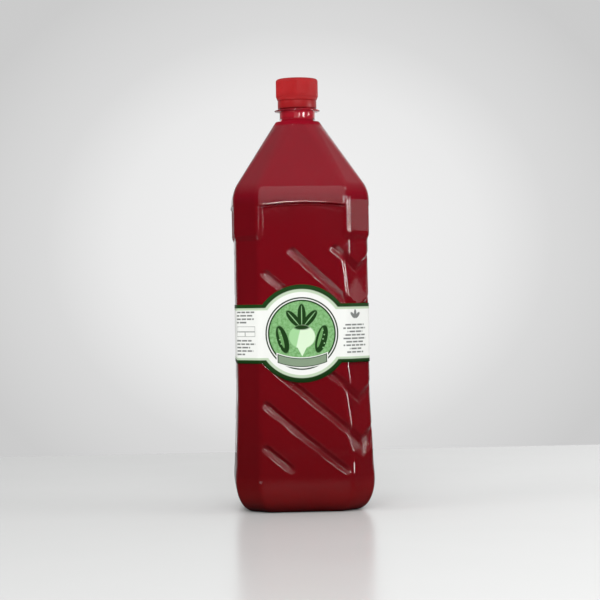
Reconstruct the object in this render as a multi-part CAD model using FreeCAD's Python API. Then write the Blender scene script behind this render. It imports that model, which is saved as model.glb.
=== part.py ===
"""A two-litre square drink bottle, full and closed, in millimetres.

The bottle is a blow-moulded clear shell. Its cross-section is a square with broad corner faces, standing on a
rounded base with a pushed-up middle. Above the label panels a bumper band leads into a straight shoulder that
turns from the square to the round neck. Slanting grooves run down each panel and meet as a V on two opposite
corners, where the corner faces step in like shingles between the grooves. A knurled screw cap with a
tamper-evident band closes the neck, the juice fills the inside up to the neck, and a film label with a round
medallion is wrapped round the panels.

+Z is up, the medallion faces -Y, and the origin is the middle of the base.
"""

import FreeCAD, Part
import math
import os

from FreeCAD import Placement, Rotation, Vector

# Cross-section of the body, from the centre line
panel_half = 47.0  # to a flat label panel
corner_cut = 15.4  # taken off each corner, along a panel
crease_round = 6.0  # rounding along the creases
top_bumper_step = 1.4  # how far the top bumper stands out from the panels
bottom_bumper_step = 2.4
wall = 0.5

# Heights of the zones of the body, from the base up
base_curve_height = 22.5
base_curve_inset = 12.5  # how far the footprint stands inside the bottom bumper
bottom_bumper_height = 4.0
lower_taper_height = 11.0
panel_height = 153.5
upper_taper_height = 5.0
top_bumper_height = 24.0
shoulder_height = 58.4
shoulder_bend = 24.0  # radius where the bumper turns into the shoulder
shoulder_end_radius = 15.9

# Pushed-up middle of the base
push_up_radius = 27.0
push_up_height = 7.0
push_up_round = 2.0

# Shallow arched window where each panel rises through the top bumper
window_side_gap = 1.0  # from a crease to the side of the window
window_top_gap = 2.5  # from the top of the bumper to the arch at the middle of a panel
window_arch = 2.0  # rise of the arch over its ends
window_slope = 1.2  # width of the sloping wall round the window

# Slanting grooves
groove_count = 7
groove_pitch = 30.4
groove_slope = 0.8  # fall for each unit across a panel
groove_corner_slope = 0.66  # the same across half a corner face
groove_radius = 2.64
groove_depth = 1.8
groove_top_margin = 5.5  # from the top of the panels to the highest groove end
groove_bottom_margin = 7.0  # below the foot of the panels, to the lowest groove end
groove_first_gap = 9.0  # from the crease at the V to where the first groove starts
groove_gap = 2.1  # from the far crease to where the other grooves start
bar_radius_step = 0.03  # between the cutting bars that meet in one groove
shingle_depth = 2.2  # how far a corner face steps in below each V
shingle_run_out = 0.03  # how far a shingle's plane stands off the corner face at its foot

# Neck finish
neck_radius = 12.7
neck_height = 7.2
ring_radius = 16.5
ring_thickness = 1.4
finish_radius = 12.4
finish_height = 19.8
finish_wall = 1.55
neck_seat_round = 0.9  # rounding where the neck stands on the shoulder
neck_root_thickness = 1.3  # of the shoulder round the foot of the neck

# Screw cap
cap_clearance = 0.35  # round the neck finish
cap_skirt_radius = 15.2
cap_top_thickness = 2.7
cap_top_round = 2.0
knurl_count = 120
knurl_depth = 0.32
band_radius = 14.0
band_height = 5.3
band_gap = 1.0  # above the neck ring
slit_height = 0.45
bridge_count = 12
bridge_width = 0.9
skirt_flare_height = 2.4  # where the skirt widens from the band to the knurls
cap_recess_radius = 11.0
cap_recess_depth = 0.3

# Juice
juice_clearance = 0.12
juice_level_above_ring = 7.5

# Label
label_gap = 0.03  # glue line
label_thickness = 0.15
label_band_height = 41.4
label_centre_height = 126.0
medallion_radius = 34.4
label_overlap_width = 8.0  # glued end at the back

# Sizes and heights worked out from those above
crease_half = panel_half - corner_cut
top_bumper_half = panel_half + top_bumper_step
bottom_bumper_half = panel_half + bottom_bumper_step
window_half = crease_half - window_side_gap
groove_first_start = crease_half - groove_first_gap
groove_start = crease_half - groove_gap
bore_radius = finish_radius - finish_wall
bottom_bumper_top = base_curve_height + bottom_bumper_height
panel_bottom = bottom_bumper_top + lower_taper_height
panel_top = panel_bottom + panel_height
top_bumper_bottom = panel_top + upper_taper_height
top_bumper_top = top_bumper_bottom + top_bumper_height
shoulder_top = top_bumper_top + shoulder_height
ring_bottom = shoulder_top + neck_height
ring_top = ring_bottom + ring_thickness
finish_top = ring_top + finish_height

UP = Vector(0, 0, 1)
ORIGIN = Vector(0, 0, 0)
HALF_TURN = 180
CREASE_TURN = math.radians(45)  # between a panel and the corner face beside it
TANGENT_SHARE = math.tan(CREASE_TURN / 2)
ROOT_2 = math.sqrt(2)


def section(half, crease, rounding, z):
    """Closed wire of the square with corner faces: 4 panels, 4 corner faces and 8 rounded creases."""
    flat = crease - rounding * TANGENT_SHARE
    corner = (half + crease) / ROOT_2
    corner_flat = (half - crease) / ROOT_2 - rounding * TANGENT_SHARE
    centre = Vector(half - rounding, flat, z)
    quarter = []
    for turn in (0, 90, 180, 270):
        rotation = Rotation(UP, turn)
        out = Vector(math.cos(CREASE_TURN), math.sin(CREASE_TURN), 0)
        along = Vector(-out.y, out.x, 0)
        half_way = Vector(math.cos(CREASE_TURN / 2), math.sin(CREASE_TURN / 2), 0)
        points = [
            Vector(half, -flat, z),
            Vector(half, flat, z),
            centre + half_way * rounding,
            Vector(0, 0, z) + out * corner - along * corner_flat,
            Vector(0, 0, z) + out * corner + along * corner_flat,
            Vector(centre.y, centre.x, z) + Vector(half_way.y, half_way.x, 0) * rounding,
            Vector(flat, half, z),
        ]
        points = [rotation.multVec(point) for point in points]
        quarter += [
            Part.LineSegment(points[0], points[1]).toShape(),
            Part.Arc(points[1], points[2], points[3]).toShape(),
            Part.LineSegment(points[3], points[4]).toShape(),
            Part.Arc(points[4], points[5], points[6]).toShape(),
        ]
    return Part.Wire(quarter)


def body_section(half, z, inset=0.0):
    """Section of the body at a half width, stepped in by inset all round."""
    crease = crease_half + (half - panel_half) * TANGENT_SHARE
    return section(half - inset, crease - inset * TANGENT_SHARE, crease_round - inset, z)


def prism(half, low, high, inset):
    """Straight stretch of the body between two heights."""
    face = Part.Face(body_section(half, low, inset))
    return face.extrude(Vector(0, 0, high - low))


def base_curve(inset):
    """Elliptical foot of the body, from the footprint up to the bottom bumper."""
    steps = 7
    inward = base_curve_inset - inset
    rise = base_curve_height - inset
    wires = []
    for step in range(steps):
        angle = math.pi / 2 * step / (steps - 1)
        half = bottom_bumper_half - inset - inward * (1 - math.sin(angle))
        z = base_curve_height - rise * math.cos(angle)
        scale = half / (bottom_bumper_half - inset)
        crease = crease_half + (bottom_bumper_half - panel_half) * TANGENT_SHARE - inset * TANGENT_SHARE
        wires.append(section(half, crease * scale, (crease_round - inset) * scale, z))
    return Part.makeLoft(wires, True, False)


def lower_taper(inset):
    """S-curve from the bottom bumper in to the label panels."""
    steps = 5
    wires = []
    for step in range(steps):
        share = step / (steps - 1)
        blend = (1 - math.cos(math.pi * share)) / 2
        half = bottom_bumper_half + (panel_half - bottom_bumper_half) * blend
        wires.append(body_section(half, bottom_bumper_top + lower_taper_height * share, inset))
    return Part.makeLoft(wires, True, False)


def upper_taper(inset):
    """Short slope from the label panels out to the top bumper."""
    low = body_section(panel_half, panel_top, inset)
    high = body_section(top_bumper_half, top_bumper_bottom, inset)
    return Part.makeLoft([low, high], True, True)


def shoulder_slope():
    """Angle of the straight shoulder from the vertical, tangent to its bend."""
    run = top_bumper_half - shoulder_end_radius
    low, high = 0.0, math.pi / 2
    for _ in range(60):
        angle = (low + high) / 2
        straight = shoulder_height - shoulder_bend * math.sin(angle)
        reach = shoulder_bend * (1 - math.cos(angle)) + straight * math.tan(angle)
        low, high = (angle, high) if reach < run else (low, angle)
    return (low + high) / 2


def shoulder_section(half, z, inset):
    """Section of the shoulder, which turns from the square to the round as it narrows."""
    share = (top_bumper_half - half) / (top_bumper_half - shoulder_end_radius)
    nearly_round = 0.985
    square_crease = crease_half + (top_bumper_half - panel_half) * TANGENT_SHARE
    crease = square_crease + (shoulder_end_radius * TANGENT_SHARE - square_crease) * share
    rounding = crease_round + (shoulder_end_radius * nearly_round - crease_round) * share
    return section(half - inset, crease - inset * TANGENT_SHARE, rounding - inset, z)


def shoulder(inset):
    """Bend above the top bumper and the straight shoulder up to the neck."""
    angle = shoulder_slope()
    steps = 5
    wires = []
    for step in range(steps):
        turn = angle * step / (steps - 1)
        half = top_bumper_half - shoulder_bend * (1 - math.cos(turn))
        wires.append(shoulder_section(half, top_bumper_top + shoulder_bend * math.sin(turn), inset))
    bend = Part.makeLoft(wires, True, False)
    bend_half = top_bumper_half - shoulder_bend * (1 - math.cos(angle))
    foot = shoulder_section(bend_half, top_bumper_top + shoulder_bend * math.sin(angle), inset)
    head = shoulder_section(shoulder_end_radius, shoulder_top, inset)
    return bend, Part.makeLoft([foot, head], True, True)


def panel_point(x, z, lift):
    """Point over the front panel, lifted off its face."""
    return Vector(x, -(panel_half + lift), z)


def capsule(start, end, radius):
    """Round bar with ball ends between two points."""
    axis = end - start
    length = axis.Length
    profile = Part.Wire(
        [
            Part.Arc(
                Vector(0, 0, -radius),
                Vector(radius / ROOT_2, 0, -radius / ROOT_2),
                Vector(radius, 0, 0),
            ).toShape(),
            Part.LineSegment(Vector(radius, 0, 0), Vector(radius, 0, length)).toShape(),
            Part.Arc(
                Vector(radius, 0, length),
                Vector(radius / ROOT_2, 0, length + radius / ROOT_2),
                Vector(0, 0, length + radius),
            ).toShape(),
            Part.LineSegment(Vector(0, 0, length + radius), Vector(0, 0, -radius)).toShape(),
        ]
    )
    bar = Part.Face(profile).revolve(ORIGIN, UP, 360)
    bar.Placement = Placement(start, Rotation(UP, axis))
    return bar


def groove_route(index):
    """Points of one groove, from its start on the front panel to the V on the corner at +X."""
    lift = groove_radius - groove_depth
    level = groove_level(index)
    lowest = panel_bottom - groove_bottom_margin
    start = -groove_start
    if index == 0:
        start = groove_first_start
    start = max(start, (level - (panel_top - groove_top_margin)) / groove_slope)
    crease = crease_half + lift * TANGENT_SHARE
    corner_half = (panel_half + lift - crease) / ROOT_2
    points = [(start, level - groove_slope * start)]
    corner_level = level - groove_slope * crease - groove_corner_slope * corner_half
    if corner_level < lowest:
        end = min((level - lowest) / groove_slope, crease - groove_radius)
        points.append((end, level - groove_slope * end))
        return [panel_point(x, z, lift) for x, z in points]
    points.append((crease, level - groove_slope * crease))
    route = [panel_point(x, z, lift) for x, z in points]
    middle = (panel_half + lift + crease) / 2
    route.append(Vector(middle, -middle, corner_level))
    return route


def groove_level(index):
    """Height at which a groove, drawn on in a straight line, crosses the middle of its panel."""
    first = panel_top - groove_top_margin + groove_slope * groove_first_start
    return first - groove_pitch * index


def over_the_diagonal(shape):
    """Copy mirrored in the upright plane through the corner at +X, -Y."""
    return shape.mirror(ORIGIN, Vector(1, 1, 0))


def half_turned(shape):
    """Copy turned half a turn about the bottle's axis."""
    copy = shape.copy()
    copy.rotate(ORIGIN, UP, HALF_TURN)
    return copy


def groove_tools(inset):
    """Batches of round bars along the grooves, grown by inset for the inside of the wall.

    The bars of one batch lie clear of each other. Bars that meet end to end are in different batches and differ
    a little in radius, so that their ball ends never share a surface.
    """
    batches = [[], [], [], []]
    for index in range(groove_count):
        route = groove_route(index)
        for place, ends in enumerate(zip(route, route[1:])):
            radius = groove_radius + inset
            near = capsule(ends[0], ends[1], radius - place * bar_radius_step)
            far = over_the_diagonal(capsule(ends[0], ends[1], radius - (place + 2) * bar_radius_step))
            batches[place] += [near, half_turned(near)]
            batches[place + 2] += [far, half_turned(far)]
    return batches


def shingle_tools(inset):
    """Batches of tilted wedges that let a corner face step in below each V and run out above the next."""
    corner = (panel_half + crease_half) / ROOT_2
    corner_half = (panel_half - crease_half) / ROOT_2
    reach = corner_half * 2
    foot = corner - inset + shingle_run_out
    batches = [[], []]
    for index in range(groove_count - 2):
        route = groove_route(index)
        if len(route) < 3:
            continue
        top = route[-1].z + inset * math.hypot(1, groove_corner_slope)
        run_out = max(top - groove_pitch, panel_bottom)
        lift = groove_corner_slope * reach
        chevron = Part.makePolygon(
            [
                Vector(0, 0, top - groove_pitch),
                Vector(0, reach, top - groove_pitch + lift),
                Vector(0, reach, top + lift),
                Vector(0, 0, top),
                Vector(0, -reach, top + lift),
                Vector(0, -reach, top - groove_pitch + lift),
                Vector(0, 0, top - groove_pitch),
            ]
        )
        chevron.translate(Vector(corner - reach, 0, 0))
        band = Part.Face(chevron).extrude(Vector(2 * reach, 0, 0))
        rise = top - run_out + lift
        tilt = shingle_depth / (top - run_out)
        wedge_side = Part.makePolygon(
            [
                Vector(foot, -reach, run_out),
                Vector(foot - tilt * rise, -reach, run_out + rise),
                Vector(corner + reach, -reach, run_out + rise),
                Vector(corner + reach, -reach, run_out),
                Vector(foot, -reach, run_out),
            ]
        )
        wedge = Part.Face(wedge_side).extrude(Vector(0, 2 * reach, 0))
        tool = band.common(wedge)
        tool.rotate(ORIGIN, UP, -45)
        batches[index % 2] += [tool, half_turned(tool)]
    return batches


def window_tools(inset):
    """Arched shallow windows, one on each side, that carry the panels up through the top bumper."""
    depth = top_bumper_half - panel_half
    plane = panel_half - inset
    tools = []
    wires = []
    for spread, distance in ((inset, plane), (inset + window_slope * 3, plane + depth * 3)):
        half = window_half + spread
        low = panel_top - upper_taper_height
        ends = top_bumper_top - window_top_gap - window_arch + spread
        crown = top_bumper_top - window_top_gap + spread
        wires.append(
            Part.Wire(
                [
                    Part.LineSegment(Vector(-half, -distance, ends), Vector(-half, -distance, low)).toShape(),
                    Part.LineSegment(Vector(-half, -distance, low), Vector(half, -distance, low)).toShape(),
                    Part.LineSegment(Vector(half, -distance, low), Vector(half, -distance, ends)).toShape(),
                    Part.Arc(
                        Vector(half, -distance, ends), Vector(0, -distance, crown), Vector(-half, -distance, ends)
                    ).toShape(),
                ]
            )
        )
    window = Part.makeLoft(wires, True, True)
    for turn in (0, 90, 180, 270):
        copy = window.copy()
        copy.rotate(ORIGIN, UP, turn)
        tools.append(copy)
    return tools


def push_up(inset):
    """Ball that presses the middle of the base up."""
    ball = (push_up_radius**2 + push_up_height**2) / (2 * push_up_height)
    return Part.makeSphere(ball + inset, Vector(0, 0, push_up_height - ball))


def body(inset):
    """Solid body up to the foot of the neck, stepped in by inset, with all its hollows."""
    bend, straight = shoulder(inset)
    zones = [
        prism(bottom_bumper_half, base_curve_height, bottom_bumper_top, inset),
        lower_taper(inset),
        prism(panel_half, panel_bottom, panel_top, inset),
        upper_taper(inset),
        prism(top_bumper_half, top_bumper_bottom, top_bumper_top, inset),
        bend,
        straight,
    ]
    solid = base_curve(inset).multiFuse(zones)
    solid = solid.cut(push_up(inset))
    for tools in [window_tools(inset)] + shingle_tools(inset) + groove_tools(inset):
        solid = solid.cut(tools)
    return solid


def revolved(points):
    """Solid of revolution about Z from (radius, height) corners."""
    wire = Part.makePolygon([Vector(r, 0, z) for r, z in points + points[:1]])
    return Part.Face(wire).revolve(ORIGIN, UP, 360)


def neck():
    """Neck, support ring and plain finish, with a small flare where it stands on the shoulder."""
    rim = ring_radius - finish_radius
    return revolved(
        [
            (0, shoulder_top),
            (neck_radius + neck_seat_round, shoulder_top),
            (neck_radius, shoulder_top + neck_seat_round),
            (neck_radius, ring_bottom - ring_thickness / 2),
            (neck_radius + rim / 4, ring_bottom),
            (ring_radius, ring_bottom + ring_thickness / 3),
            (ring_radius, ring_top - ring_thickness / 3),
            (finish_radius + rim / 4, ring_top),
            (finish_radius, ring_top + ring_thickness / 4),
            (finish_radius, finish_top),
            (0, finish_top),
        ]
    )


def bore(clearance, top):
    """Straight inside of the neck from inside the shoulder up to a height."""
    start = shoulder_top - 4 * neck_root_thickness
    return Part.makeCylinder(bore_radius - clearance, top - start, Vector(0, 0, start))


def cavity(clearance, top):
    """Everything inside the wall, up to a height in the neck."""
    reach = 4 * panel_half
    roof = shoulder_top - neck_root_thickness - clearance
    above = Part.makeBox(reach, reach, reach, Vector(-reach / 2, -reach / 2, roof))
    return body(wall + clearance).cut(above).fuse(bore(clearance, top))


def make_bottle():
    """Clear shell: the outside of the body and neck less the cavity."""
    outside = body(0.0).fuse(neck())
    return outside.cut(cavity(0.0, finish_top + 1.0))


def make_juice():
    """Juice up to its level in the neck, hidden behind the cap."""
    return cavity(juice_clearance, ring_top + juice_level_above_ring)


def make_label():
    """Film label: a band round the panels with a round medallion on the front and a glued end at the back."""
    low = label_centre_height - medallion_radius
    height = 2 * medallion_radius
    inner = Part.Face(body_section(panel_half, low, -label_gap)).extrude(UP * height)
    outer = Part.Face(body_section(panel_half, low, -label_gap - label_thickness)).extrude(UP * height)
    sleeve = outer.cut(inner)
    reach = 4 * panel_half
    band = Part.makeBox(
        reach, reach, label_band_height, Vector(-reach / 2, -reach / 2, label_centre_height - label_band_height / 2)
    )
    disc = Part.makeCylinder(
        medallion_radius, reach / 2, Vector(0, 0, label_centre_height), Vector(0, -1, 0)
    )
    label = sleeve.common(band.fuse(disc))
    overlap = Part.makeBox(
        label_overlap_width,
        label_thickness,
        label_band_height,
        Vector(
            -label_overlap_width / 2,
            panel_half + label_gap + label_thickness,
            label_centre_height - label_band_height / 2,
        ),
    )
    return label.fuse(overlap)


def knurled_prism(low, high):
    """Prism whose outline is a ring of small teeth."""
    points = []
    for tooth in range(knurl_count):
        crest = 2 * math.pi * tooth / knurl_count
        root = crest + math.pi / knurl_count
        inner = cap_skirt_radius - knurl_depth
        points.append(Vector(cap_skirt_radius * math.cos(crest), cap_skirt_radius * math.sin(crest), low))
        points.append(Vector(inner * math.cos(root), inner * math.sin(root), low))
    wire = Part.makePolygon(points + points[:1])
    return Part.Face(wire).extrude(Vector(0, 0, high - low))


def skirt_foot(low, high):
    """Flare from the band up to the knurls."""
    return Part.makeCone(band_radius, cap_skirt_radius - 1.1 * knurl_depth, high - low, Vector(0, 0, low))


def skirt_head(low, high):
    """Smooth top of the cap with a rounded edge."""
    radius = cap_skirt_radius - 1.1 * knurl_depth
    round_up = high - low
    middle = Vector(
        radius - round_up + round_up * math.cos(CREASE_TURN), 0, low + round_up * math.sin(CREASE_TURN)
    )
    edges = [
        Part.LineSegment(Vector(0, 0, low), Vector(radius, 0, low)).toShape(),
        Part.Arc(Vector(radius, 0, low), middle, Vector(radius - round_up, 0, high)).toShape(),
        Part.LineSegment(Vector(radius - round_up, 0, high), Vector(0, 0, high)).toShape(),
        Part.LineSegment(Vector(0, 0, high), Vector(0, 0, low)).toShape(),
    ]
    return Part.Face(Part.Wire(edges)).revolve(ORIGIN, UP, 360)


def make_cap():
    """Screw cap seated on the neck, with a knurled skirt and a tamper-evident band on thin bridges."""
    band_bottom = ring_top + band_gap
    band_top = band_bottom + band_height
    skirt_bottom = band_top + slit_height
    top = finish_top + cap_top_thickness
    knurl_bottom = skirt_bottom + skirt_flare_height
    knurl_top = top - cap_top_round
    skirt = knurled_prism(knurl_bottom, knurl_top).multiFuse(
        [skirt_foot(skirt_bottom, knurl_bottom), skirt_head(knurl_top, top)]
    )
    inner = finish_radius + cap_clearance
    hollow = Part.makeCylinder(inner, finish_top - skirt_bottom, Vector(0, 0, skirt_bottom))
    recess = Part.makeCylinder(cap_recess_radius, cap_recess_depth, Vector(0, 0, top - cap_recess_depth))
    skirt = skirt.cut(hollow).cut(recess)
    band = Part.makeCylinder(band_radius, band_height, Vector(0, 0, band_bottom))
    band = band.cut(Part.makeCylinder(inner, band_height, Vector(0, 0, band_bottom)))
    bridges = []
    for index in range(bridge_count):
        bridge = Part.makeBox(
            (band_radius - inner) / 2,
            bridge_width,
            slit_height,
            Vector(inner + (band_radius - inner) / 4, -bridge_width / 2, band_top),
        )
        bridge.rotate(ORIGIN, UP, 360 * index / bridge_count)
        bridges.append(bridge)
    return skirt.multiFuse([band] + bridges)


def write(name, shape):
    """Write one piece as a STEP file, and print its volume for the record."""
    solids = shape.Solids
    shape = solids[0] if len(solids) == 1 else shape
    print(name, "solids", len(solids), "valid", shape.isValid(), "volume", round(shape.Volume, 2))
    shape.exportStep(os.path.join("parts", name + ".step"))


def main():
    os.makedirs("parts", exist_ok=True)
    write("bottle", make_bottle())
    write("pickle_juice", make_juice())
    write("label", make_label())
    write("cap", make_cap())


main()
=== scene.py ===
"""A large square clear bottle of deep red pickle juice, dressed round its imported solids.

Everything is worked out in millimetres from named sizes and turned into metres as it becomes a mesh. The bottle
stands on z = 0 with its axis on z, and the label's medallion faces -y.
"""

import math

import bpy
import numpy as np
from mathutils import Matrix, Vector


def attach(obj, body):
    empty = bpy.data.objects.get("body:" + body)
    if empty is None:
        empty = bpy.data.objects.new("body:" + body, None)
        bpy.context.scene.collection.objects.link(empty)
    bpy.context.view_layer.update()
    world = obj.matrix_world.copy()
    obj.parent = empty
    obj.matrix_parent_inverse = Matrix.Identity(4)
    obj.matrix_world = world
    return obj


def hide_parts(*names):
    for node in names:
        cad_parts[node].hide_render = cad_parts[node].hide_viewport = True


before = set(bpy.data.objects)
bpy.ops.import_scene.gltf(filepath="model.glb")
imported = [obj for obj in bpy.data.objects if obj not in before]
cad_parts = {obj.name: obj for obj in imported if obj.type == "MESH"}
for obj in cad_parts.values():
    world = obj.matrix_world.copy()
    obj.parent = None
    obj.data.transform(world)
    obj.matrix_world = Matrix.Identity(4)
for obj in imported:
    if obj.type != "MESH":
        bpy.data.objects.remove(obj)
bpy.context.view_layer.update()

MM = 0.001
QUARTER = math.pi / 2
EIGHTH = math.pi / 4
ROOT_2 = math.sqrt(2)
TANGENT_SHARE = math.tan(EIGHTH / 2)

# The bottle's sizes, as in its solids. Only the swell, the window's beads, the grooves' starts and lifts and the
# label's shift are finer here.
panel_half = 47.0
corner_cut = 15.4
crease_half = panel_half - corner_cut
crease_round = 6.0
top_bumper_half = panel_half + 1.4
bottom_bumper_half = panel_half + 2.4
base_curve_height = 22.5
base_curve_inset = 12.5
bottom_bumper_top = base_curve_height + 4.0
panel_bottom = bottom_bumper_top + 11.0
panel_top = panel_bottom + 153.5
lower_swell = 1.5  # how far the lower panels bulge, and over what height the bulge comes in
lower_swell_length = 54.0
foot_flare_start = base_curve_height - 1.0
foot_flare_length = 19.0
top_bumper_bottom = panel_top + 5.0
top_bumper_top = top_bumper_bottom + 24.0
shoulder_height = 58.4
shoulder_top = top_bumper_top + shoulder_height
shoulder_bend = 24.0
shoulder_end_radius = 15.9
shoulder_end_rounding = shoulder_end_radius * 0.985  # almost round where it meets the neck
push_up_radius = 27.0
push_up_height = 7.0
window_half = crease_half - 1.0
window_crown = top_bumper_top - 2.5
window_arch = 2.0
window_side_run = 1.5
window_crown_run = 0.9
window_bead = 0.6
bead_above = 0.8  # the two beads' distances over and under the crown's line
bead_below = 1.1
bead_width = 0.42
groove_count = 7
groove_pitch = 30.4
groove_slope = 0.8
groove_corner_slope = 0.66
groove_depth = 1.8
groove_half_width = 2.75
groove_start = crease_half - 3.0
groove_first_start = crease_half - 9.0
groove_second_start = -9.5
groove_first_level = panel_top - 5.5 + groove_slope * groove_first_start
groove_lifts = (0.0, 0.12, 0.07, -0.008, 0.045, 0.045, 0.045)  # slope that each groove has over the common one
groove_end_level = panel_bottom - 7.0
groove_last_reach = crease_half + 4.0
shingle_depth = 2.2
shingle_count = 5
shingle_run_in = 2.4
v_corner_half = 16.0

# The support ring, the finish and the cap
ring_bottom = shoulder_top + 7.2
ring_top = ring_bottom + 1.4
finish_top = ring_top + 19.8
cap_top = finish_top + 2.7
band_low = ring_top + 1.0
band_high = band_low + 5.3
knurls = 120
points_per_knurl = 6
knurl_depth = 0.32

# The juice, the inside of the wall and the label
juice_level = ring_top + 7.5
juice_reach = 0.12
inner_inset = 1.0
inner_shoulder_top = shoulder_top - 1.3
label_centre = 126.0
label_band_half = 20.7
label_shift = -1.7
label_overlap = 8.0
label_faces = (0.18, 0.03)  # distances of the film's outer and inner face from the panel
label_ride_up = 0.165
medallion_radius = 34.4

# How finely the surfaces are divided
around = 272
around_coarse = around // 2
base_rows = 12
foot_rows = 16
window_row_step = 1.7
crown_rows = 26
bend_rows = 14
straight_rows = 16


def smooth(x):
    """Ease from 0 to 1, three x squared less two x cubed, of x held between 0 and 1."""
    x = np.clip(x, 0.0, 1.0)
    return x * x * (3 - 2 * x)


def section_radius(turn, half, crease, rounding):
    """Distance from the axis to the wall of a square with corner faces, at a turn about the axis.

    Folded into one eighth, the outline is the panel's line half / cos, the corner face's line
    (half + crease) / root 2 / cos, and between them the arc of the given rounding.
    """
    fold = np.abs((turn + EIGHTH) % QUARTER - EIGHTH)
    corner = (half + crease) / ROOT_2
    flat = crease - rounding * TANGENT_SHARE
    middle = half - rounding
    reach = np.hypot(middle, flat)
    lean = fold - np.arctan2(flat, middle)
    arc = reach * np.cos(lean) + np.sqrt(np.maximum(rounding**2 - (reach * np.sin(lean)) ** 2, 0))
    first = np.arctan2(flat, half)
    last = np.arctan2(flat + rounding / ROOT_2, middle + rounding / ROOT_2)
    on_corner = np.where(fold > last, corner / np.cos(EIGHTH - fold), arc)
    return np.where(fold < first, half / np.cos(fold), on_corner)


def outline():
    """Turns from the V corner all the way round, and the length walked along the panel section to each."""
    turns = np.linspace(-EIGHTH, 2 * math.pi - EIGHTH, 14401)
    radius = section_radius(turns, panel_half, crease_half, crease_round)
    steps = np.hypot(np.diff(radius * np.cos(turns)), np.diff(radius * np.sin(turns)))
    return turns, np.concatenate([[0.0], np.cumsum(steps)])


outline_turns, outline_lengths = outline()
girth = outline_lengths[-1]
row_step = girth / around * groove_slope
corner_reach = (panel_half - crease_half) / ROOT_2
fall_at_middle = groove_corner_slope * corner_reach + groove_slope * (girth / 8 - corner_reach)


def turn_at(length):
    """Turn about the axis of a point so far along the panel section, counted from the V corner."""
    return np.interp(length % girth, outline_lengths, outline_turns)


def from_v_corner(length):
    """Distance along the section to the nearer of the two V corners."""
    return np.abs((length + girth / 4) % (girth / 2) - girth / 4)


def shoulder_angle():
    """Lean of the straight shoulder, tangent to its bend and ending at the neck."""
    angles = np.linspace(0.0, 1.2, 4001)
    straight = shoulder_height - shoulder_bend * np.sin(angles)
    reach = shoulder_bend * (1 - np.cos(angles)) + straight * np.tan(angles)
    return float(np.interp(top_bumper_half - shoulder_end_radius, reach, angles))


def body_rows(inset, stride):
    """Rows of the body from the middle of the base up to the neck, stepped in by inset.

    Each row holds height, half width, crease, rounding, the radius of a ring, and how far the row is that ring
    rather than the square section. A stride of 2 has half the rows.
    """
    rows = []
    ball = (push_up_radius**2 + push_up_height**2) / (2 * push_up_height)
    centre = push_up_height - ball
    edge = math.sqrt((ball + inset) ** 2 - (inset - centre) ** 2)
    for share in np.linspace(0.12, 1.0, base_rows // stride):
        radius = edge * share
        height = centre + math.sqrt((ball + inset) ** 2 - radius**2)
        rows.append((height, 1, 1, 0.1, radius, 1.0))
    crease_bottom = crease_half + (bottom_bumper_half - panel_half) * TANGENT_SHARE
    for angle in np.linspace(0, QUARTER, foot_rows // stride):
        half = bottom_bumper_half - inset - (base_curve_inset - inset) * (1 - math.sin(angle))
        height = base_curve_height - (base_curve_height - inset) * math.cos(angle)
        scale = half / (bottom_bumper_half - inset)
        crease = (crease_bottom - inset * TANGENT_SHARE) * scale
        rows.append((height, half, crease, (crease_round - inset) * scale, 0, 0.0))
    panel_rows = np.arange(base_curve_height + row_step, panel_top, row_step * stride)
    window_rows = np.arange(panel_top + 0.2, window_crown - 3.6, window_row_step * stride)
    arch_rows = np.linspace(window_crown - 3.5, window_crown + 1.7, crown_rows // stride)
    arch_rows = np.append(arch_rows, top_bumper_top - 0.3)
    for height in np.concatenate([panel_rows, window_rows, arch_rows]):
        swell = lower_swell * smooth((label_centre - medallion_radius - 1.0 - height) / lower_swell_length)
        flare = 1 - smooth((height - foot_flare_start) / foot_flare_length)
        half = panel_half + swell + (bottom_bumper_half - panel_half - swell) * flare
        half += (top_bumper_half - panel_half) * smooth((height - panel_top) / (top_bumper_bottom - panel_top))
        crease = crease_half + (half - panel_half - inset) * TANGENT_SHARE
        rows.append((height, half - inset, crease, crease_round - inset, 0, 0.0))
    lean = shoulder_angle()
    crease_top = crease_half + (top_bumper_half - panel_half) * TANGENT_SHARE
    bend_end = top_bumper_half - shoulder_bend * (1 - math.cos(lean))
    bend = [
        (top_bumper_top + shoulder_bend * math.sin(turn), top_bumper_half - shoulder_bend * (1 - math.cos(turn)))
        for turn in np.linspace(0, lean, bend_rows // stride)
    ]
    straight = [
        (
            shoulder_top + (bend[-1][0] - shoulder_top) * (1 - t),
            shoulder_end_radius + (bend_end - shoulder_end_radius) * (1 - t),
        )
        for t in np.linspace(0, 1, straight_rows // stride)[1:]
    ]
    for height, half in bend + straight:
        share = (top_bumper_half - half) / (top_bumper_half - shoulder_end_radius)
        crease = crease_top + (shoulder_end_radius * TANGENT_SHARE - crease_top) * share
        rounding = crease_round + (shoulder_end_rounding - crease_round) * share
        rows.append((height, half - inset, crease - inset * TANGENT_SHARE, rounding - inset, 0, 0.0))
    return np.array(rows, dtype=float).T


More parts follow.
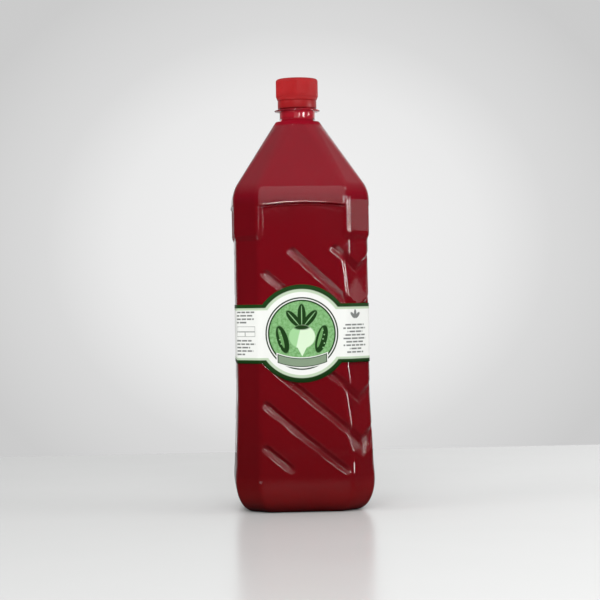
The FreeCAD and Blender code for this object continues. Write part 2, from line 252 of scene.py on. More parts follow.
def groove_relief(length, height):
    """Depth of the slanting grooves: a rounded channel about each line that falls from its start to the V corner.

    The depth is the full depth times (1 - t squared) to the power 1.25, where t is the distance from the groove's
    middle line, or from its end, over half its width. The last two grooves end above the foot.
    """
    to_v = from_v_corner(length)
    fall = np.where(
        to_v < corner_reach,
        groove_corner_slope * to_v,
        groove_corner_slope * corner_reach + groove_slope * (to_v - corner_reach),
    )
    across = girth / 8 - to_v
    slant = math.hypot(1, groove_slope)
    depth = np.zeros(np.broadcast(length, height).shape)
    for index in range(groove_count):
        level = groove_first_level - groove_pitch * index
        start = (groove_first_start, groove_second_start)[index] if index < 2 else -groove_start
        lift = groove_lifts[index] * np.maximum(to_v - corner_reach, 0)
        off_line = (height - level + fall_at_middle - fall - lift) / slant
        along = ((across - start) - groove_slope * (height - level + groove_slope * start)) / slant
        past = np.maximum(-along, 0)
        if index >= groove_count - 2:
            end = (level - groove_end_level) / groove_slope
            past = np.maximum(past, along - (end - start) * slant)
            past = np.where(across > groove_last_reach, 4 * groove_half_width, past)
        t = np.minimum(np.hypot(off_line, past) / groove_half_width, 1)
        depth = np.maximum(depth, groove_depth * (1 - t * t) ** 1.25)
    return depth


def shingle_relief(length, height):
    """How far the V corner faces step in: most just below each V, running out to nothing above the next one."""
    to_v = from_v_corner(length)
    last = shingle_count - 1
    top = groove_first_level - fall_at_middle
    climb = groove_corner_slope * np.minimum(to_v, v_corner_half)
    down = top + climb - height
    bay = np.floor(down / groove_pitch)
    part = down / groove_pitch - bay
    last_pitch = top - groove_pitch * last - panel_bottom
    short = bay == last
    left = np.where(short, 1 - part * groove_pitch / last_pitch, 1 - part)
    left = np.clip(left, 0, 1) * smooth(part * groove_pitch / shingle_run_in)
    side = np.where(short, 0, climb / groove_pitch)
    on_v_corner = to_v < girth / 8
    return shingle_depth * np.where((bay >= 0) & (bay <= last) & on_v_corner, left + side * (1 - part), 0)


def window_relief(turn, height, half):
    """Depth of the arched windows that carry the panels up through the top bumper.

    Their crown is a short step between two fine beads, each a bell curve across the arch.
    """
    fold = np.abs((turn + EIGHTH) % QUARTER - EIGHTH)
    aside = np.tan(fold) * half
    arch = window_crown - window_arch * (aside / window_half) ** 2
    under = arch - height
    inside = np.minimum((window_half - aside) / window_side_run + 0.35, under / window_crown_run + 0.5)
    beads = sum(np.exp(-(((under - place) / bead_width) ** 2)) for place in (-bead_above, bead_below))
    beads = beads * smooth((window_half - 1.0 - aside) / 2.0)
    step = np.where(height > panel_top, np.maximum(half - panel_half, 0), 0)
    return step * smooth(inside) - window_bead * beads


def body_points(lengths, inset, stride):
    """Grid of points over the body: rows from the base to the neck, columns round it from the V corner."""
    height, half, crease, rounding, ring, is_ring = (row[:, None] for row in body_rows(inset, stride))
    length = lengths[None, :]
    turn = turn_at(length)
    grooves = groove_relief(length, height)
    shingles = shingle_relief(length, height)
    windows = window_relief(turn, height, half + inset)
    wall = section_radius(
        turn,
        half - grooves - windows,
        crease - grooves * TANGENT_SHARE + windows - shingles * ROOT_2,
        rounding,
    )
    radius = wall * (1 - is_ring) + ring * is_ring
    return np.stack([radius * np.cos(turn), radius * np.sin(turn), height + 0 * turn], axis=2)


def turned_points(turns, profile):
    """Grid of points of a profile, (radius, height) rows, carried round the axis."""
    radius = np.array([p[0] for p in profile])[:, None]
    height = np.array([p[1] for p in profile])[:, None]
    turn = turns[None, :]
    return np.stack([radius * np.cos(turn), radius * np.sin(turn), height + 0 * turn], axis=2)


def grid_faces(rows, columns, start, rising):
    """Triangles of a closed ring of rows, split along the rising diagonal where asked, else the falling one."""
    row = np.arange(rows - 1)[:, None]
    column = np.arange(columns)[None, :]
    after = (column + 1) % columns
    a = start + row * columns + column
    b = start + row * columns + after
    c = start + (row + 1) * columns + after
    d = start + (row + 1) * columns + column
    up = np.broadcast_to(rising[None, :], a.shape)[..., None]
    one = np.where(up, np.stack([a, b, c], 2), np.stack([a, b, d], 2))
    two = np.where(up, np.stack([a, c, d], 2), np.stack([b, c, d], 2))
    return np.concatenate([one.reshape(-1, 3), two.reshape(-1, 3)])


def fan_faces(ring_start, columns, pole, outward):
    """Triangles that close a ring of points onto a pole."""
    column = np.arange(columns)
    after = (column + 1) % columns
    ends = (ring_start + column, ring_start + after) if outward else (ring_start + after, ring_start + column)
    return np.stack([ends[0], ends[1], np.full(columns, pole)], 1)


def seam_faces(fine_start, coarse_start, coarse):
    """Triangles that join a row of twice as many points to the coarser row above it."""
    step = np.arange(coarse)
    after = (step + 1) % coarse
    low = fine_start + 2 * step
    mid = low + 1
    end = fine_start + (2 * step + 2) % (2 * coarse)
    top = coarse_start + step
    top_after = coarse_start + after
    return np.concatenate(
        [np.stack([low, mid, top], 1), np.stack([mid, top_after, top], 1), np.stack([mid, end, top_after], 1)]
    )


def make_mesh(name, points, triangles):
    """Object from points in millimetres and triangles, smooth-shaded."""
    mesh = bpy.data.meshes.new(name)
    mesh.vertices.add(len(points))
    mesh.vertices.foreach_set("co", (np.asarray(points) * MM).astype(np.float32).ravel())
    count = len(triangles)
    mesh.loops.add(count * 3)
    mesh.loops.foreach_set("vertex_index", np.asarray(triangles).astype(np.int32).ravel())
    mesh.polygons.add(count)
    mesh.polygons.foreach_set("loop_start", np.arange(count, dtype=np.int32) * 3)
    mesh.polygons.foreach_set("loop_total", np.full(count, 3, dtype=np.int32))
    mesh.polygons.foreach_set("use_smooth", np.ones(count, dtype=bool))
    mesh.update(calc_edges=True)
    mesh.validate()
    piece = bpy.data.objects.new(name, mesh)
    bpy.context.scene.collection.objects.link(piece)
    return piece


def columns_of(count):
    """Lengths round the section of evenly spaced columns, and whether the grooves rise along each."""
    lengths = np.arange(count) * girth / count
    middle = lengths + girth / count / 2
    rising = from_v_corner(middle + 0.01) > from_v_corner(middle - 0.01)
    return lengths, rising


def body_mesh(name, outside, upper, low_pole, high_pole):
    """Closed surface from fine rows of the body, coarse rows that carry on from them, and a pole at each end."""
    outside_count = outside.shape[0] * around
    upper_count = upper.shape[0] * around_coarse
    poles = np.array([(0, 0, low_pole), (0, 0, high_pole)], float)
    points = np.concatenate([outside.reshape(-1, 3), upper.reshape(-1, 3), poles])
    first_pole = outside_count + upper_count
    fine_rising, coarse_rising = columns_of(around)[1], columns_of(around_coarse)[1]
    triangles = np.concatenate(
        [
            grid_faces(outside.shape[0], around, 0, fine_rising),
            fan_faces(0, around, first_pole, False),
            seam_faces(outside_count - around, outside_count, around_coarse),
            grid_faces(upper.shape[0], around_coarse, outside_count, coarse_rising),
            fan_faces(first_pole - around_coarse, around_coarse, first_pole + 1, True),
        ]
    )
    return make_mesh(name, points, triangles)


# The neck from the shoulder over the support ring and the rim, and down its bore: radius and height
neck_profile = [
    (14.9, shoulder_top + 0.35),
    (13.9, shoulder_top + 0.7),
    (13.15, shoulder_top + 1.3),
    (12.8, shoulder_top + 2.1),
    (12.7, shoulder_top + 2.6),
    (12.7, shoulder_top + 3.0),
    (12.7, ring_bottom - 1.5),
    (12.7, ring_bottom - 1.1),
    (12.85, ring_bottom - 0.5),
    (13.4, ring_bottom - 0.1),
    (15.6, ring_bottom + 0.08),
    (16.2, ring_bottom + 0.28),
    (16.5, ring_bottom + 0.7),
    (16.2, ring_top - 0.28),
    (15.6, ring_top - 0.08),
    (13.2, ring_top + 0.1),
    (12.6, ring_top + 0.4),
    (12.4, ring_top + 1.0),
    (12.4, finish_top - 0.5),
    (12.2, finish_top - 0.1),
    (11.9, finish_top),
    (11.2, finish_top),
    (10.95, finish_top - 0.2),
    (10.85, finish_top - 0.8),
    (10.85, shoulder_top - 0.6),
    (11.3, shoulder_top - 1.1),
]


def make_bottle():
    """Clear shell as one closed surface: outside from the base to the neck, over the rim, and down the inside.

    The inside has half as many rows and columns and stands a little deeper, because the juice meets the wall.
    """
    coarse = columns_of(around_coarse)[0]
    outside = body_points(columns_of(around)[0], 0.0, 1)
    neck = turned_points(turn_at(coarse), neck_profile)
    inside = body_points(coarse, inner_inset, 2)[::-1]
    inside[..., 2] = np.minimum(inside[..., 2], inner_shoulder_top)
    upper = np.concatenate([neck, inside])
    return body_mesh("clear_bottle", outside, upper, push_up_height, push_up_height + inner_inset)


def make_juice():
    """Juice that reaches just into the wall, from the base up to its level in the neck."""
    outside = body_points(columns_of(around)[0], juice_reach, 1)
    outside[..., 2] = np.minimum(outside[..., 2], shoulder_top - juice_reach)
    profile = [
        (13.2, shoulder_top - juice_reach + 0.1),
        (12.0, shoulder_top + 0.5),
        (11.3, shoulder_top + 1.6),
        (11.1, shoulder_top + 3.0),
        (11.1, juice_level - 0.3),
        (10.6, juice_level - 0.1),
        (9.0, juice_level),
    ]
    upper = turned_points(turn_at(columns_of(around_coarse)[0]), profile)
    return body_mesh("juice_fill", outside, upper, push_up_height + juice_reach, juice_level)


def make_cap():
    """Screw cap as one closed surface, from under its top panel down the inside and up the knurled outside.

    Each row holds a radius, a height and how deeply the knurls are cut there.
    """
    columns = knurls * points_per_knurl
    skirt_low = band_high + 0.45
    knurl_low = skirt_low + 2.4
    inner = 12.75
    band = 14.0
    waist = 13.62
    crown = 15.2
    edge_round = 2.0
    rows = [
        (inner - 1.5, finish_top, 0),
        (inner, finish_top, 0),
        (inner, finish_top - 4, 0),
        (inner, band_low + 0.3, 0),
        (inner + 0.2, band_low, 0),
        (13.75, band_low, 0),
        (13.93, band_low + 0.08, 0),
        (band, band_low + 0.3, 0),
        (band, band_high - 0.3, 0),
        (13.93, band_high - 0.08, 0),
        (13.8, band_high, 0),
        (waist, band_high + 0.08, 0),
        (waist, skirt_low - 0.08, 0),
        (13.8, skirt_low, 0),
        (14.05, skirt_low + 0.08, 0),
        (14.2, skirt_low + 0.35, 0),
        (14.45, skirt_low + 0.95, 0.1),
        (14.7, skirt_low + 1.6, 0.5),
        (14.95, knurl_low, 1),
        (crown, knurl_low + 0.6, 1),
        (crown, knurl_low + 3.5, 1),
        (crown, knurl_low + 7.0, 1),
        (crown, cap_top - 2.4, 1),
    ]
    for angle in np.linspace(0.12, QUARTER, 9):
        radius = crown - edge_round + edge_round * math.cos(angle)
        height = cap_top - edge_round + edge_round * math.sin(angle)
        rows.append((radius, height, math.cos(angle) ** 1.5))
    rows += [
        (11.6, cap_top, 0),
        (11.2, cap_top - 0.1, 0),
        (10.9, cap_top - 0.28, 0),
        (10.4, cap_top - 0.3, 0),
        (1.3, cap_top - 0.3, 0),
        (0.9, cap_top - 0.45, 0),
    ]
    radius, height, share = np.array(rows).T
    turns = np.arange(columns) * 2 * math.pi / columns
    tooth = np.abs(np.sin(turns * knurls / 2))[None, :]
    wall = radius[:, None] - share[:, None] * knurl_depth * (1 - tooth)
    grid = np.stack([wall * np.cos(turns), wall * np.sin(turns), height[:, None] + 0 * wall], axis=2)
    count = len(rows) * columns
    poles = np.array([(0, 0, finish_top), (0, 0, cap_top - 0.5)], float)
    points = np.concatenate([grid.reshape(-1, 3), poles])
    triangles = np.concatenate(
        [
            grid_faces(len(rows), columns, 0, np.ones(columns, bool)),
            fan_faces(0, columns, count, False),
            fan_faces(count - columns, columns, count + 1, True),
        ]
    )
    return make_mesh("screw_cap", points, triangles)


def make_label():
    """Printed film wrapped once round the panels and glued over its own start at the back.

    Along the film the height runs from its lower to its upper edge, which swell into a circle on the front; the
    map holds the distance round from the middle of the front and the height from the film's centre line, over 100.
    """
    meet = math.sqrt(medallion_radius**2 - label_band_half**2)
    front = np.linspace(-meet, meet, 93)
    left = np.linspace(-girth / 2, -meet, 190)[:-1]
    right = np.linspace(meet, girth / 2 + label_overlap, 200)[1:]
    along = np.concatenate([left, front, right])
    share = np.linspace(0, 1, 21)
    edge = np.maximum(label_band_half, np.sqrt(np.maximum(medallion_radius**2 - along**2, 0)))
    up = (2 * share[:, None] - 1) * edge[None, :]
    ride_up = label_ride_up * smooth((along - girth / 2 + 3.0) / 3.0)
    turn = turn_at(along + label_shift + girth / 8 * 7)
    grids = []
    for stand_off in label_faces:
        off = stand_off + ride_up
        radius = section_radius(turn, panel_half + off, crease_half + off * TANGENT_SHARE, crease_round + off)
        flat = 0 * up
        grids.append(np.stack([radius * np.cos(turn) + flat, radius * np.sin(turn) + flat, up + label_centre], axis=2))
    rows, columns = up.shape
    points = np.concatenate([g.reshape(-1, 3) for g in grids])
    index = np.arange(rows * columns).reshape(rows, columns)
    far = index + rows * columns

    def strip(a, b, c, d):
        return np.concatenate(
            [np.stack([a, b, c], -1).reshape(-1, 3), np.stack([a, c, d], -1).reshape(-1, 3)]
        )

    triangles = np.concatenate(
        [
            strip(index[:-1, :-1], index[:-1, 1:], index[1:, 1:], index[1:, :-1]),
            strip(far[1:, :-1], far[1:, 1:], far[:-1, 1:], far[:-1, :-1]),
            strip(far[0, :-1], far[0, 1:], index[0, 1:], index[0, :-1]),
            strip(index[-1, :-1], index[-1, 1:], far[-1, 1:], far[-1, :-1]),
            strip(index[:-1, -1], far[:-1, -1], far[1:, -1], index[1:, -1]),
            strip(far[:-1, 0], index[:-1, 0], index[1:, 0], far[1:, 0]),
        ]
    )
    piece = make_mesh("label_wrap", points, triangles)
    layer = piece.data.uv_layers.new(name="print_map")
    flat_map = np.stack([along[None, :] + 0 * up, up], axis=2).reshape(-1, 2) / 100
    both = np.concatenate([flat_map, flat_map])
    corners = np.zeros(len(piece.data.loops), dtype=np.int32)
    piece.data.loops.foreach_get("vertex_index", corners)
    layer.data.foreach_set("uv", both[corners].astype(np.float32).ravel())
    return piece


class Term:
    """One value in a material: arithmetic on it adds Math nodes, and node() makes any other node."""

    tree = None

    def __init__(self, socket):
        self.socket = socket

    @classmethod
    def node(cls, kind, settings=None, inputs=None, output=0):
        made = cls.tree.nodes.new(kind)
        for name, value in (settings or {}).items():
            if name == "stops":
                ramp = made.color_ramp.elements
                while len(ramp) < len(value):
                    ramp.new(0.5)
                for element, (place, colour) in zip(ramp, value):
                    element.position = place
                    element.color = (*colour, 1)
            else:
                setattr(made, name, value)
        for name, value in (inputs or {}).items():
            if isinstance(value, Term):
                cls.tree.links.new(value.socket, made.inputs[name])
            else:
                made.inputs[name].default_value = value
        return cls(made.outputs[output])

    @classmethod
    def math(cls, operation, *values, clamp=False):
        return cls.node("ShaderNodeMath", {"operation": operation, "use_clamp": clamp}, dict(enumerate(values)))

    def __add__(self, other):
        return Term.math("ADD", self, other)

    __radd__ = __add__

    def __sub__(self, other):
        return Term.math("SUBTRACT", self, other)

    def __rsub__(self, other):
        return Term.math("SUBTRACT", other, self)

    def __mul__(self, other):
        return Term.math("MULTIPLY", self, other)

    __rmul__ = __mul__

    def __truediv__(self, other):
        return Term.math("DIVIDE", self, other)

    def __abs__(self):
        return Term.math("ABSOLUTE", self)


def most(a, b):
    """The larger of two values."""
    return Term.math("MAXIMUM", a, b)


def below(value, limit, soft):
    """Mask that is 1 where the value is under a limit, over a soft edge."""
    return Term.math("MULTIPLY_ADD", value, -1 / soft, limit / soft + 0.5, clamp=True)


def blend(mask, first, second):
    """Colour that is the first where the mask is 0 and the second where it is 1."""
    first, second = (c if isinstance(c, Term) else (*c, 1) for c in (first, second))
    return Term.node("ShaderNodeMix", {"data_type": "RGBA"}, {0: mask, 6: first, 7: second}, output=2)


def split(vector):
    """The three parts of a vector."""
    made = Term.node("ShaderNodeSeparateXYZ", inputs={0: vector}).socket.node
    return [Term(out) for out in made.outputs]


def noise(vector, scale, detail=2.0, roughness=0.5):
    inputs = {"Vector": vector, "Scale": scale, "Detail": detail, "Roughness": roughness}
    return Term.node("ShaderNodeTexNoise", inputs=inputs)


def bump(height, strength, distance):
    return Term.node("ShaderNodeBump", inputs={"Height": height, "Strength": strength, "Distance": distance})


def object_place():
    return Term.node("ShaderNodeTexCoord", output=3)


def start_material(name):
    material = bpy.data.materials.new(name)
    material.use_nodes = True
    material.node_tree.nodes.clear()
    Term.tree = material.node_tree
    return material


def finish_material(surface):
    end = Term.tree.nodes.new("ShaderNodeOutputMaterial")
    Term.tree.links.new(surface.socket, end.inputs["Surface"])


def plastic(inputs):
    return Term.node("ShaderNodeBsdfPrincipled", inputs=inputs)


def clear_plastic():
    """Blown clear plastic: glassy, with the faint waviness of its walls, and dull in the step at the neck's foot."""
    material = start_material("clear_plastic")
    place = object_place()
    wave = noise(place, 26.0, 1.5)
    fine = noise(place, 140.0, 2.0)
    haze = noise(place, 60.0, 3.0)
    height = split(place)[2]
    under_step = below(height, (shoulder_top - 3.2) * MM, 0.0020)
    neck_foot = (1 - under_step) * below(height, (shoulder_top + 1.8) * MM, 0.0012)
    shell = plastic(
        {
            "Base Color": (0.96, 0.99, 0.98, 1),
            "Roughness": haze * 0.05 + 0.03,
            "IOR": 1.5,
            "Transmission Weight": 1.0,
            "Normal": bump(wave + fine * 0.12, 0.25, 0.0006),
        }
    )
    through = Term.node("ShaderNodeBsdfTransparent", inputs={"Color": (0.97, 0.98, 0.98, 1)})
    shadow = Term.node("ShaderNodeLightPath", output=1)
    finish_material(Term.node("ShaderNodeMixShader", inputs={0: most(shadow, neck_foot), 1: shell, 2: through}))
    return material


def juice_liquid():
    """Deep red, cloudy juice, with painted shade and light by height: painted shade darkens it towards the base, a
    painted reflection of the table browns its curve, and painted light makes it paler up the shoulder and neck.
    """
    material = start_material("juice_liquid")
    place = object_place()
    height = split(place)[2]
    # Masks of painted shade and light: painted shade low down, painted light on the shoulder and in the neck, painted
    # table reflection in the base curve
    low = below(height, 0.09, 0.12)
    shoulder = 1 - below(height, (top_bumper_top - 0.5) * MM, 0.004)
    neck = 1 - below(height, (shoulder_top + 2.2) * MM, 0.003)
    cloud = noise(place, 9.0, 3.0)
    base = below(height, (base_curve_height - 3.5) * MM, 0.014)
    # Painted shade, painted reflection and painted light laid over the juice's one red; only the cloud is a tone of
    # its own
    colour = blend(low, (0.245, 0.0034, 0.0100), (0.180, 0.0030, 0.0058))
    colour = blend(base, colour, (0.275, 0.0100, 0.0110))
    colour = blend(shoulder, colour, (0.262, 0.0046, 0.0150))
    colour = blend(neck, colour, (0.56, 0.017, 0.036))
    colour = blend(Term.math("MULTIPLY_ADD", cloud, 0.5, -0.12, clamp=True), colour, (0.16, 0.0032, 0.008))
    finish_material(plastic({"Base Color": colour, "Roughness": 0.5, "IOR": 1.05}))
    return material


def cap_plastic():
    """Red moulded cap: satin, with fine mould grain, and with painted shade that darkens its band and its top edge."""
    material = start_material("cap_plastic")
    place = object_place()
    grain = noise(place, 900.0, 3.0)
    patch = noise(place, 130.0, 2.0)
    height = split(place)[2]
    # Painted shade: a darker colour for the band
    band = below(height, (band_high + 0.3) * MM, 0.0004)
    colour = blend(patch, (0.46, 0.009, 0.012), (0.38, 0.007, 0.009))
    colour = blend(band, colour, (0.31, 0.0030, 0.0055))
    # Painted shade: a darker colour for the top edge
    crown = 1 - below(height, (cap_top - 1.3) * MM, 0.0014)
    colour = blend(crown, colour, (0.33, 0.0070, 0.0095))
    finish_material(
        plastic(
            {
                "Base Color": colour,
                "Roughness": patch * 0.12 + 0.32,
                "IOR": 1.42,
                "Normal": bump(grain, 0.12, 0.0002),
            }
        )
    )
    return material


def oval(x, y, centre, size, lean, soft=0.05):
    """Mask of a leaning oval, from (x / a) squared + (y / b) squared under 1 in its own directions."""
    c, s = math.cos(math.radians(lean)), math.sin(math.radians(lean))
    dx, dy = x - centre[0], y - centre[1]
    u = (dx * c + dy * s) / size[0]
    v = (dy * c - dx * s) / size[1]
    return below(u * u + v * v, 1.0, soft * 4)


def block(x, y, low, high, soft=0.18):
    """Mask of an upright rectangle between two corners."""
    middle = ((low[0] + high[0]) / 2, (low[1] + high[1]) / 2)
    far = most(abs(x - middle[0]) - (high[0] - low[0]) / 2, abs(y - middle[1]) - (high[1] - low[1]) / 2)
    return below(far, 0.0, soft)


def label_print():
    """Printed film: green borders that follow its edge, a ringed medallion of vegetables, and grey small print.

    Positions are millimetres round the bottle and up from the film's centre line.
    """
    material = start_material("label_print")
    uv = Term.node("ShaderNodeUVMap", {"uv_map": "print_map"})
    x, y, _ = split(uv)
    x, y = x * 100, y * 100
    dark = (0.006, 0.043, 0.0025)
    ink = (0.015, 0.033, 0.013)
    pale = (0.49, 0.60, 0.44)
    white = (0.81, 0.82, 0.79)
    leaf = (0.135, 0.33, 0.105)
    light_leaf = (0.25, 0.50, 0.22)

    radius = Term.math("SQRT", x * x + y * y)
    from_edge = most(label_band_half - abs(y), (medallion_radius - radius) * (2.45 / 3.22))
    colour = blend(below(from_edge, 4.0, 0.5), white, pale)
    colour = blend(below(from_edge, 2.45, 0.35), colour, dark)

    ring = below(radius, 25.5, 0.3)
    colour = blend(ring, colour, ink)
    colour = blend(below(radius, 24.5, 0.3), colour, white)
    colour = blend(below(radius, 23.75, 0.3), colour, dark)
    mottle = noise(uv, 55.0, 4.0, 0.7)
    disc = blend(Term.math("MULTIPLY_ADD", mottle, 4.0, -1.5, clamp=True), leaf, light_leaf)
    colour = blend(below(radius, 22.7, 0.3), colour, disc)

    for lean, reach in ((40, 7.2), (-40, 7.2), (0, 8.2)):
        middle = (-math.sin(math.radians(lean)) * 9.0, 3.6 + math.cos(math.radians(lean)) * 9.0)
        colour = blend(oval(x, y, middle, (2.9, reach), lean), colour, dark)
        colour = blend(oval(x, y, middle, (0.35, reach * 0.85), lean), colour, light_leaf)
    for side in (-1, 1):
        centre = (side * 13.6, -4.0)
        colour = blend(oval(x, y, centre, (3.9, 10.0), side * -16), colour, dark)
        colour = blend(oval(x, y, (centre[0] - 0.9, centre[1] + 1.0), (1.1, 7.2), side * -16), colour, leaf)
        for k in range(5):
            spot = (centre[0] + side * 1.5 + (k % 2) * 0.9 - 0.4, -10.0 + 3.0 * k)
            colour = blend(oval(x, y, spot, (0.5, 0.5), 0, 0.15), colour, light_leaf)
    bulb = most(oval(x, y, (0, -2.2), (9.2, 8.2), 0), below(abs(x) * 1.9 - y, 16.0, 0.8) * below(y, -5.0, 0.8))
    shade = below(x * x * 0.05 - x + y * 0.3, 2.0, 0.8)
    colour = blend(bulb, colour, blend(shade, (0.34, 0.62, 0.30), (0.66, 0.82, 0.60)))
    colour = blend(oval(x, y, (0, 5.0), (6.0, 2.4), 0, 0.2) * bulb, colour, dark)

    sag = y + 20.4 - x * x * 0.011
    for reach, half, tone in ((18.0, 3.7, white), (17.3, 3.1, ink), (16.7, 2.55, (0.22, 0.30, 0.20))):
        colour = blend(below(most(abs(sag) - half, abs(x) - reach), 0.0, 0.3), colour, tone)

    grey = (0.07, 0.08, 0.075)
    left_edge, right_middle, pitch = -51.5, 39.5, 2.4
    upper_left = (18.0, 15.5, 17.0, 10.0)
    lower_left = (14.5, 18.0, 13.0, 16.0, 8.0)
    right_halves = (9.0, 10.5, 7.5, 10.0, 10.5, 8.5, 10.5, 6.0, 8.0)
    lines = [(left_edge, left_edge + length, 15.4 - pitch * k) for k, length in enumerate(upper_left)]
    lines += [(left_edge, left_edge + length, -4.6 - pitch * k) for k, length in enumerate(lower_left)]
    lines += [(right_middle - half, right_middle + half, 5.6 - pitch * k) for k, half in enumerate(right_halves)]
    small = None
    for number, (low, high, level) in enumerate(lines):
        word = 2.2 + 0.35 * (number * 3 % 5)
        between = Term.math("PINGPONG", x + 60.0 + number, word)
        mark = block(x, y, (low, level - 0.55), (high, level + 0.55), 0.3) * (1 - below(between, 0.4, 0.3))
        small = mark if small is None else most(small, mark)
    for low, high in (
        ((left_edge, -1.8), (-43.2, 1.6)),
        ((-43.0, -1.8), (-33.5, 1.6)),
        ((left_edge, 1.8), (-33.5, 5.4)),
    ):
        inner = block(x, y, (low[0] + 0.3, low[1] + 0.3), (high[0] - 0.3, high[1] - 0.3))
        small = most(small, block(x, y, low, high) - inner)
    for lean in (-50, 0, 50):
        middle = (right_middle - math.sin(math.radians(lean)) * 3.2, 10.2 + math.cos(math.radians(lean)) * 3.2)
        small = most(small, oval(x, y, middle, (1.3, 3.0), lean, 0.12))
    colour = blend(small * 0.85, colour, grey)
    paper = noise(uv, 160.0, 3.0)
    finish_material(
        plastic(
            {
                "Base Color": colour,
                "Roughness": paper * 0.1 + 0.47,
                "IOR": 1.32,
                "Normal": bump(paper, 0.08, 0.0002),
            }
        )
    )
    return material


def table_top():
    """Pale glossy table, with a painted dark colour that only mirrored rays see, so that its reflection in the bottle
    is painted shade.
    """
    material = start_material("table_top")
    place = object_place()
    mirrored = Term.node("ShaderNodeLightPath", output=3)
    finish_material(
        plastic(
            {
                # Painted shade in reflections: mirrored rays see the table nearly black
                "Base Color": blend(mirrored, (0.69, 0.695, 0.69), (0.05, 0.05, 0.05)),
                "Roughness": noise(place, 5.0, 2.0) * 0.06 + 0.2,
                "IOR": 1.45,
            }
        )
    )
    return material


def make_table():
    """Table top with a rounded back edge, from a profile carried along x."""
    back = 0.525
    fillet = 0.01
    turns = np.linspace(0, QUARTER, 7)
    profile = [(-2.6, -0.05), (-2.6, 0.0)]
    profile += [(back - fillet + fillet * math.sin(t), -fillet + fillet * math.cos(t)) for t in turns]
    profile += [(back, -0.05)]
    sides = np.array([-2.2, 2.2])
    points = [(x, y, z) for y, z in profile for x in sides]
    faces = []
    count = len(profile)
    for k in range(count):
        a, b = 2 * k, 2 * ((k + 1) % count)
        faces.append((a, a + 1, b + 1, b))
    faces += [tuple(range(0, 2 * count, 2)), tuple(range(2 * count - 1, 0, -2))]
    mesh = bpy.data.meshes.new("table")
    mesh.from_pydata(points, [], faces)
    piece = bpy.data.objects.new("table", mesh)
    bpy.context.scene.collection.objects.link(piece)
    return piece


def softbox(name, azimuth, elevation, distance, size, radiance, glossy=True):
    """Rectangular lamp of an even brightness, facing the bottle. Azimuth 0 is the front and 90 the right.

    Angles are degrees and lengths metres. A lamp that isn't glossy lights the pieces but is never mirrored in them.
    """
    lamp = bpy.data.lights.new(name, "AREA")
    lamp.shape = "RECTANGLE"
    lamp.size, lamp.size_y = size
    lamp.energy = radiance * math.pi * size[0] * size[1]
    a, e = math.radians(azimuth), math.radians(elevation)
    aim = Vector((0, 0, 0.16))
    place = aim + Vector((math.sin(a) * math.cos(e), -math.cos(a) * math.cos(e), math.sin(e))) * distance
    piece = bpy.data.objects.new(name, lamp)
    piece.matrix_world = Matrix.Translation(place) @ (aim - place).to_track_quat("-Z", "Y").to_matrix().to_4x4()
    piece.visible_camera = False
    piece.visible_glossy = glossy
    piece.visible_transmission = glossy
    bpy.context.scene.collection.objects.link(piece)
    return piece


def shine(name, azimuth, elevation, distance, size, radiance, pieces=None):
    """Lamp that is only mirrored in the gloss of the pieces in a collection and lights nothing."""
    piece = softbox(name, azimuth, elevation, distance, size, radiance)
    piece.visible_diffuse = False
    piece.light_linking.receiver_collection = pieces or glossy_ones
    return piece


def make_world():
    """Studio round the bottle: dark towards the front, pale behind; what the camera sees is a pale wall with a painted
    pool of light behind the bottle.
    """
    world = bpy.data.worlds.new("studio")
    bpy.context.scene.world = world
    world.use_nodes = True
    world.node_tree.nodes.clear()
    Term.tree = world.node_tree
    direction = Term.node("ShaderNodeTexCoord", output=0)
    side, back, up = split(direction)
    behind = 1 - below(back, 0.5, 0.5)
    above = 1 - below(up, 0.6, 0.5)
    spread = Term.node("ShaderNodeLightPath", output=2)
    level = most(behind * (0.8 - below(side, 0.0, 0.4) * 0.45), above * 0.33) + 0.04 + spread * 0.4
    seen = Term.node("ShaderNodeLightPath", output=0)
    room = Term.node("ShaderNodeBackground", inputs={0: (1, 1, 1, 1), 1: level})
    # Painted pool of light on the wall the camera sees, brightest behind the bottle
    glow_centre, glow_reach = (0.052, 0.03), (0.13, 0.11)
    aside = (side - glow_centre[0]) / glow_reach[0]
    height = (up - glow_centre[1]) / glow_reach[1]
    away = aside * aside + height * height
    stops = [(0.0, (0.875,) * 3), (0.25, (0.82,) * 3), (0.5, (0.70,) * 3), (1.0, (0.60,) * 3)]
    glow = Term.node("ShaderNodeValToRGB", {"stops": stops}, {0: away * 0.5})
    wall = Term.node("ShaderNodeBackground", inputs={0: glow, 1: 1.0})
    both = Term.node("ShaderNodeMixShader", inputs={0: seen, 1: room, 2: wall})
    end = world.node_tree.nodes.new("ShaderNodeOutputWorld")
    world.node_tree.links.new(both.socket, end.inputs["Surface"])


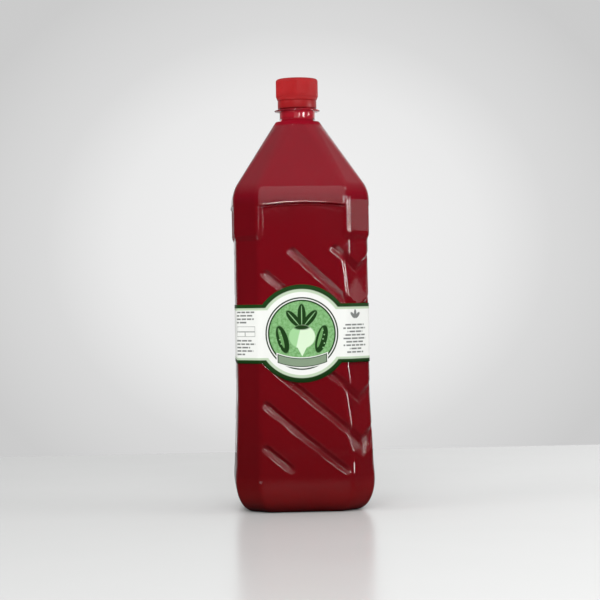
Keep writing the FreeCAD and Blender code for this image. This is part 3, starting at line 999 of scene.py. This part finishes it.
def make_camera():
    """Camera at eye level with the bottle's middle, a little to the left of its front, and rolled slightly.

    The view is as wide as view_width at the bottle's axis.
    """
    distance, eye, view_width, sensor = 1.4, 0.1495, 0.435, 36.0
    azimuth, roll = math.radians(-3.0), math.radians(-0.95)
    data = bpy.data.cameras.new("camera")
    data.sensor_width = sensor
    data.lens = sensor * distance / view_width
    data.clip_end = 50
    camera = bpy.data.objects.new("camera", data)
    aside = Vector((math.cos(azimuth), math.sin(azimuth), 0)) * -0.0002
    place = Vector((math.sin(azimuth) * distance, -math.cos(azimuth) * distance, eye)) + aside
    ahead = Vector((-math.sin(azimuth), math.cos(azimuth), 0))
    turned = ahead.to_track_quat("-Z", "Y").to_matrix().to_4x4() @ Matrix.Rotation(roll, 4, "Z")
    camera.matrix_world = Matrix.Translation(place) @ turned
    bpy.context.scene.collection.objects.link(camera)
    bpy.context.scene.camera = camera


pieces = (
    (make_bottle(), "bottle", "clear_plastic", clear_plastic()),
    (make_juice(), "pickle_juice", "juice", juice_liquid()),
    (make_label(), "label", "label_film", label_print()),
    (make_cap(), "cap", "cap_plastic", cap_plastic()),
)
glossy_ones = bpy.data.collections.new("glossy_ones")
clear_ones = bpy.data.collections.new("clear_ones")
clear_ones.objects.link(pieces[0][0])
for piece, node, slot, material in pieces:
    glossy_ones.objects.link(piece)
    piece.data.materials.append(material)
    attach(piece, "root")
    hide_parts(node)

table = make_table()
table.data.materials.append(table_top())

make_world()
softbox("front_high", 0, 27.3, 1.7, (1.3, 1.42), 1.0)
softbox("right_wall", 95, 4.6, 1.3, (0.62, 0.068), 0.75)
shine("right_edge", 77, 4, 1.3, (0.16, 0.42), 20.0)
shine("key", 47, 42, 1.6, (0.32, 0.32), 4.0)
shine("over", 5, 86, 1.4, (0.38, 0.4), 20.0, clear_ones)
shine("neck_bright", 40, 9.0, 1.5, (0.3, 0.3), 26.0, clear_ones)
shine("neck_dim", 10, 9.0, 1.5, (0.16, 0.3), 9.0, clear_ones)
# This one lies on the table to the left, facing up, and is mirrored in the curve of the foot
floor_glow = shine("floor_glow", 0, -90, 0.16, (0.225, 0.2), 1.5)
floor_glow.matrix_world = Matrix.Translation((-0.2, -0.235, 0.004)) @ Matrix.Rotation(math.pi, 4, "X")
softbox("fill_front", -8, 40, 2.2, (1.4, 1.2), 3.7, glossy=False)
softbox("fill_left", -70, 25, 2.0, (1.0, 1.0), 3.4, glossy=False)
softbox("fill_right", 75, 20, 2.0, (1.0, 1.0), 3.2, glossy=False)
make_camera()

scene = bpy.context.scene
scene.view_settings.view_transform = "Standard"
